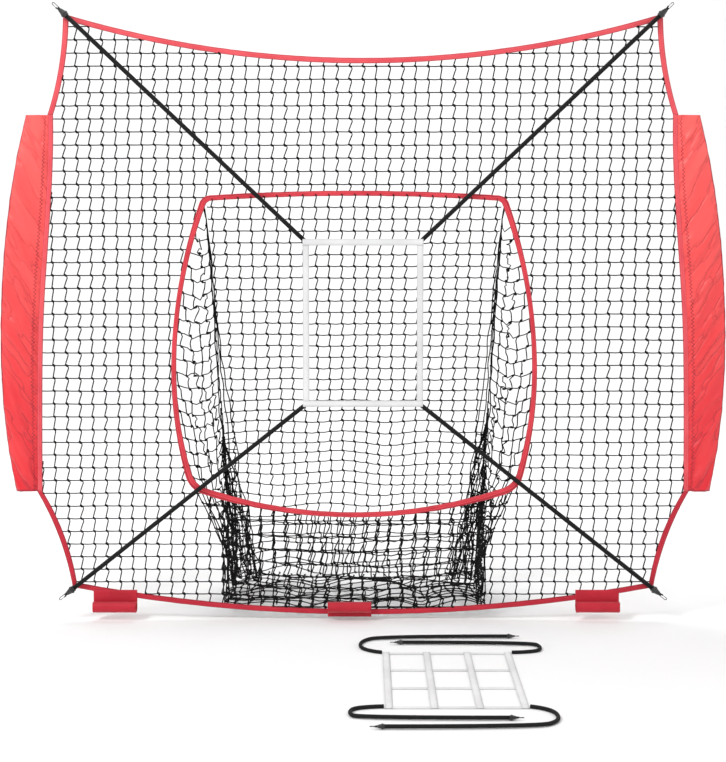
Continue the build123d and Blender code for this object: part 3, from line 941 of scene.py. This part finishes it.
def sleeve_wrinkle(across, z, seed):
    """How far the nylon stands off its smooth shape, in metres: diagonal creases that run down
    towards the net, broad hollows, and small puckers beside the seam."""
    lean = 0.5 * z - 0.87 * across
    run = 0.87 * z + 0.5 * across
    crease = 1 - abs(noise.noise(Vector((lean * 26, run * 5, seed))))
    hollow = noise.noise(Vector((across * 9, z * 7, seed + 5)))
    pucker = math.sin(z * 2 * math.pi / 0.013 + 5 * noise.noise(Vector((0, z * 30, seed))))
    near_seam = math.exp(-((across / 0.016) ** 2))
    return 0.0080 * (crease**4 - 0.35) + 0.0050 * hollow + 0.0018 * pucker * near_seam


def add_sleeve(name, sign, material):
    """A pole sleeve: nylon with real thickness, wrinkled, open at both ends and sewn to its seam."""
    node = f"sleeve_{name}"
    low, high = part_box(node)
    spans, steps = 300, 24
    lowest, highest = low.z + 0.001, high.z - 0.001
    depth = (high.y - low.y) / 2
    outside, inside = [], []
    for k in range(spans + 1):
        z = lowest + (highest - lowest) * k / spans
        inner, outer = sleeve_edges(node, z)
        inner -= SLEEVE_LAP
        ring_out, ring_in = [], []
        for step in range(2 * steps):
            share = (1 - math.cos(math.pi * step / steps)) / 2
            front = 0 if step in (0, steps) else (-1 if step < steps else 1)
            flat = 1 - abs(2 * share - 1) ** 6
            across = (outer - inner) * share
            swell = depth * (1 - abs(2 * share - 1) ** 2.2) * 0.84 + 0.0022
            push = sleeve_wrinkle(across, z, sign * 2 + front) * flat
            y = front * max(swell + push, 0.0024)
            edge = 0.0011 * smooth_noise((share, 3, z), 30.0, sign)
            ring_out.append(Vector((sign * (inner + across) + edge, y, z)))
            pulled = inner + (outer - inner) * min(max(share, 0.02), 0.98)
            ring_in.append(Vector((sign * pulled + edge, y - front * SLEEVE_WALL, z)))
        outside.append(ring_out)
        inside.append(ring_in)
    rings = [*outside, *reversed(inside), [point.copy() for point in outside[0]]]
    sleeve = loft_object(f"{name}_pole_sleeve", rings, turns=True)
    weld(sleeve)
    dress(sleeve, material, "net", node)


def weld(piece):
    """Joins points that lie on each other, so that a shell is closed."""
    mesh = bmesh.new()
    mesh.from_mesh(piece.data)
    bmesh.ops.remove_doubles(mesh, verts=mesh.verts, dist=SAME_PLACE)
    bmesh.ops.recalc_face_normals(mesh, faces=mesh.faces)
    mesh.to_mesh(piece.data)
    mesh.free()


def strap_ring(centre, across, up):
    """One cross-section of flat webbing: a slab with soft edges."""
    shares = ((1, 0.4), (0.97, 0.8), (0.9, 1), (-0.9, 1), (-0.97, 0.8), (-1, 0.4))
    ring = [centre + across * a + up * b for a, b in shares]
    return ring + [centre - across * a - up * b for a, b in shares]


def strap(name, low, high, along, up, seed, wave=0.0006):
    """Flat webbing that fills a box, with soft edges and a slight lie. Along and up are axes."""
    across = along.cross(up)
    middle = (low + high) / 2
    half = [abs((high - low).dot(axis)) / 2 for axis in (along, across, up)]
    count = max(int(half[0] / 0.003), 8)
    rings = []
    for k in range(count + 1):
        centre = middle + along * (half[0] * (2 * k / count - 1))
        lie = wave * smooth_noise(centre, 16.0, seed)
        edge = 1 + 0.02 * smooth_noise(centre, 60.0, seed + 3)
        rings.append(strap_ring(centre + up * lie, across * half[1] * edge, up * half[2]))
    return loft_object(name, rings, caps=True)


def add_strike_zone(material):
    """The four strips of the strike zone, each over its CAD strip, overlapped and sewn at the corners."""
    front = Vector((0, -1, 0))
    for name in ("top", "bottom", "left", "right"):
        node = f"zone_strip_{name}"
        low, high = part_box(node)
        upright = name in ("left", "right")
        if upright:
            reach = Vector((0, 0, (high.x - low.x)))
            low, high = low - reach, high + reach
            low.y, high.y = low.y + 0.0021, high.y + 0.0021
        along = Vector((0, 0, 1)) if upright else Vector((1, 0, 0))
        piece = strap(f"strike_zone_{name}_strip", low, high, along, front, len(name))
        dress(piece, material, "strike_zone", node)


def add_grid_target(material):
    """The rows and columns of the loose target's webbing."""
    up = Vector((0, 0, 1))
    for node, along in (("target_rows", Vector((1, 0, 0))), ("target_columns", Vector((0, 1, 0)))):
        for index, points in enumerate(solids_of(node)):
            low = Vector(min(axis) for axis in zip(*points))
            high = Vector(max(axis) for axis in zip(*points))
            piece = strap(f"{node}_{index + 1}", low, high, along, up, index, 0.0002)
            dress(piece, material, "nine_hole_target", node)


def fabric_shell(name, line, x_low, x_high, thick, seed, wave=0.0004):
    """A strip of folded fabric: a line in Y and Z with thickness, carried along X."""
    last = len(line) - 1
    tangents = [(line[min(k + 1, last)] - line[max(k - 1, 0)]).normalized() for k in range(last + 1)]
    normals = [Vector((0, -t.z, t.y)) for t in tangents]
    rings = []
    count = 34
    for k in range(count + 1):
        x = x_low + (x_high - x_low) * k / count
        hem = 1.25 if k in (0, 1, count - 1, count) else 1.0
        front, back = [], []
        for index, (point, normal) in enumerate(zip(line, normals)):
            tip = 0.5 if index in (0, last) else 1.0
            shift = wave * smooth_noise((x * 2, index * 0.3, seed), 24.0)
            base = Vector((x, point.y, point.z)) + normal * shift
            front.append(base + normal * thick / 2 * tip * hem)
            back.append(base - normal * thick / 2 * tip * hem)
        rings.append(front + back[::-1])
    return loft_object(name, rings, caps=True)


def arc_line(centre, radius, start, end, count=22):
    """Points of an arc in Y and Z. Angles in degrees, 0 at the back and 90 at the top."""
    points = []
    for k in range(count + 1):
        angle = math.radians(start + (end - start) * k / count)
        points.append(centre + Vector((0, math.cos(angle), math.sin(angle))) * radius)
    return points


def line_length(points):
    return sum((far - near).length for near, far in zip(points, points[1:]))


def add_bar_tab(name, material):
    """A loop for the base bar: one strip from the root under the bar, one over it, and the flap."""
    bore = MOUNTS[f"bar_tab_{name}_bore"]
    centre = Vector(bore["pos_m"])
    radius = bore["dims"]["r_mm"] / 1000
    low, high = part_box(f"bar_tab_{name}")
    wall = high.y - centre.y - radius
    middle = radius + wall / 2
    above = high.z - centre.z > centre.z - low.z + wall
    root_z = (high.z if above else low.z) - centre.z
    turn = 1 if above else -1
    root = [centre + Vector((0, middle, root_z * k / 8)) for k in range(8, 0, -1)]
    lip = 180 - TAB_OPEN_DEG / 2
    under = root + arc_line(centre, middle, 0, -lip * turn)
    over = arc_line(centre, middle, 0, lip * turn)
    ends = (low.x + 0.001, high.x - 0.001)
    for part, line, node in (("under", under, f"bar_tab_{name}"), ("over", over, None)):
        shell = fabric_shell(f"{name}_bar_loop_{part}", line, *ends, wall * 0.8, centre.x)
        dress(shell, material, "net", node)
        line_length(line)
    flap_low, flap_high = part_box(f"tab_flap_{name}")
    flap_radius = centre.z - flap_low.z - 0.0008
    rise = math.degrees(math.asin(min((flap_high.z - centre.z) / flap_radius, 1.0)))
    line = arc_line(centre, flap_radius, 270, 180 - rise)
    flap = fabric_shell(f"{name}_bar_flap", line, flap_low.x, flap_high.x, 0.0014, centre.x + 4, 0.0003)
    dress(flap, material, f"flap_{name}", f"tab_flap_{name}")
    line_length(line)


# ---- cords


def nurbs_points(route):
    """The smooth line of a cord: points read off a NURBS spline whose control points are the route."""
    data = bpy.data.curves.new("route", "CURVE")
    data.dimensions = "3D"
    data.resolution_u = 16
    spline = data.splines.new("NURBS")
    spline.points.add(len(route) - 1)
    for control, point in zip(spline.points, route):
        control.co = (*point, 1)
    spline.order_u = 3
    spline.use_endpoint_u = True
    holder = bpy.data.objects.new("route", data)
    mesh = bpy.data.meshes.new_from_object(holder)
    points = [vertex.co.copy() for vertex in mesh.vertices]
    bpy.data.objects.remove(holder)
    bpy.data.curves.remove(data)
    bpy.data.meshes.remove(mesh)
    return points


def add_cord(name, node, route, radius, body, length, material):
    """A braided shock cord along a route."""
    line = nurbs_points(route)
    cord = loft_object(name, tube_rings(line, radius, 20), caps=True, turns=True)
    dress(cord, material, body, node)
    tuple(route[0])
    [tuple(point) for point in line]


def tube_ends(node):
    """The middles of the two ends of a straight CAD tube."""
    points = [vertex.co for vertex in NODES[node].data.vertices]
    low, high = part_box(node)
    middle = (low + high) / 2
    reach = max((point - middle for point in points), key=lambda step: step.length)
    ends = []
    for side in (-1, 1):
        ring = [point for point in points if (point - middle).dot(reach) * side > 0]
        ends.append(Vector((min(axis) + max(axis)) / 2 for axis in zip(*ring)))
    return ends


def add_zone_cords(material):
    """The four taut cords, each from behind a corner of the strike zone to its ferrule."""
    zone_middle = (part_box("zone_strip_top")[0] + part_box("zone_strip_bottom")[1]) / 2
    for corner in ("upper_left", "upper_right", "lower_left", "lower_right"):
        node = f"zone_cord_{corner}"
        start, end = sorted(tube_ends(node), key=lambda point: (point - zone_middle).length)
        low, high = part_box(node)
        radius = (high.y - low.y) / 2
        length = (end - start).length
        name = f"{corner}_zone_cord"
        add_cord(name, node, [start, end], radius, "strike_zone", length, material)


def add_target_cords(material):
    """The four loose cords of the target, lying on the floor in the same bends as the CAD tubes."""
    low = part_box("target_rows")[0]
    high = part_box("target_columns")[1]
    heights = [CORD_R] * 3 + [CORD_END_Z] * 2
    for side, route, length in (("left", FAR_LEFT_ROUTE, 0.577), ("right", FAR_RIGHT_ROUTE, 0.526)):
        other = "right" if side == "left" else "left"
        far = Vector((low.x if side == "left" else high.x, high.y, 0))
        near = Vector((high.x if side == "left" else low.x, low.y, 0))
        for corner, base, turn in ((f"far_{side}", far, 1), (f"near_{other}", near, -1)):
            points = [base + Vector((x * turn, y * turn, z)) for (x, y), z in zip(route, heights)]
            pieces = [NODES[f"target_{kind}_{corner}"] for kind in ("hook", "gate")]
            pieces.append(NODES["target_ferrules"])
            name, node = f"{corner}_target_cord", f"target_cord_{corner}"
            add_cord(name, node, points, CORD_R, "nine_hole_target", length, material)


# ---- finishes on the frame's own pieces


def finish_fittings():
    """Moulded ferrules, and hooks and gates in black-coated wire."""
    plastic = hard("ferrule_black", (0.010, 0.010, 0.011, 1), (0.045, 0.045, 0.048, 1), 0.42, coat=0.15)
    steel = hard("hook_black", (0.014, 0.014, 0.016, 1), (0.09, 0.09, 0.095, 1), 0.36, metal=0.7)
    for name, node in NODES.items():
        if "ferrules" in name:
            node.material_slots[0].material = plastic
        elif "hook" in name or "gate" in name:
            node.material_slots[0].material = steel


def main():
    add_camera()
    braid = twisted("cord_braid", (0.0012, 0.0012, 0.0014, 1), (0.014, 0.014, 0.014, 1), 0.009, 0.66, 6)
    add_zone_cords(braid)
    add_target_cords(braid)
    add_room()

    twine = twisted("net_twine", (0.001, 0.001, 0.0012, 1), (0.006, 0.006, 0.006, 1), 0.006, 0.8, 2)
    add_main_net(twine)
    add_pocket_back(twine)
    add_pocket_floor(twine)
    add_pocket_apron(twine)
    add_pocket_side("left", -1, twine)
    add_pocket_side("right", 1, twine)

    rows = tuple((at, 0.0032, 0.0008) for at in (0.0040, 0.0120, 0.0205, 0.0295))
    rims = (0.0, 0.0163, 0.0330)
    binding = woven("binding_red", (0.66, 0.050, 0.070, 1), (0.84, 0.105, 0.125, 1), 0.0011, 0.62, 0.3,
                    rows, (0.88, 0.19, 0.20, 1), rims)
    crimson = woven("binding_crimson", (0.42, 0.008, 0.026, 1), (0.60, 0.022, 0.045, 1), 0.0011, 0.6, 0.3,
                    rows, (0.70, 0.06, 0.08, 1), rims)
    lip = woven("mouth_crimson", (0.50, 0.018, 0.036, 1), (0.78, 0.055, 0.075, 1), 0.0011, 0.6, 0.3,
                rows, (0.85, 0.14, 0.16, 1), rims)
    add_edges(binding, crimson, lip)

    cloth = nylon("sleeve_red", (0.72, 0.014, 0.028, 1), (0.98, 0.120, 0.110, 1), (0.34, 0.010, 0.026, 1))
    add_sleeve("left", -1, cloth)
    add_sleeve("right", 1, cloth)

    tab = woven("tab_crimson", (0.42, 0.008, 0.022, 1), (0.60, 0.018, 0.040, 1), 0.0009, 0.55, 0.25,
                ((0.004, 0.003, 0.0008), (0.012, 0.003, 0.0008)), (0.72, 0.05, 0.08, 1))
    for name in ("left", "centre", "right"):
        add_bar_tab(name, tab)

    rows = tuple((at, 0.0032, 0.0008) for at in (0.0042, 0.0165, 0.0245, 0.0370))
    white = woven("webbing_white", (0.66, 0.66, 0.67, 1), (0.82, 0.82, 0.82, 1), 0.0013, 0.75, 0.1,
                  rows, (0.60, 0.60, 0.61, 1), (0.0, 0.0205, 0.0410))
    add_strike_zone(white)
    add_grid_target(white)
    finish_fittings()


main()
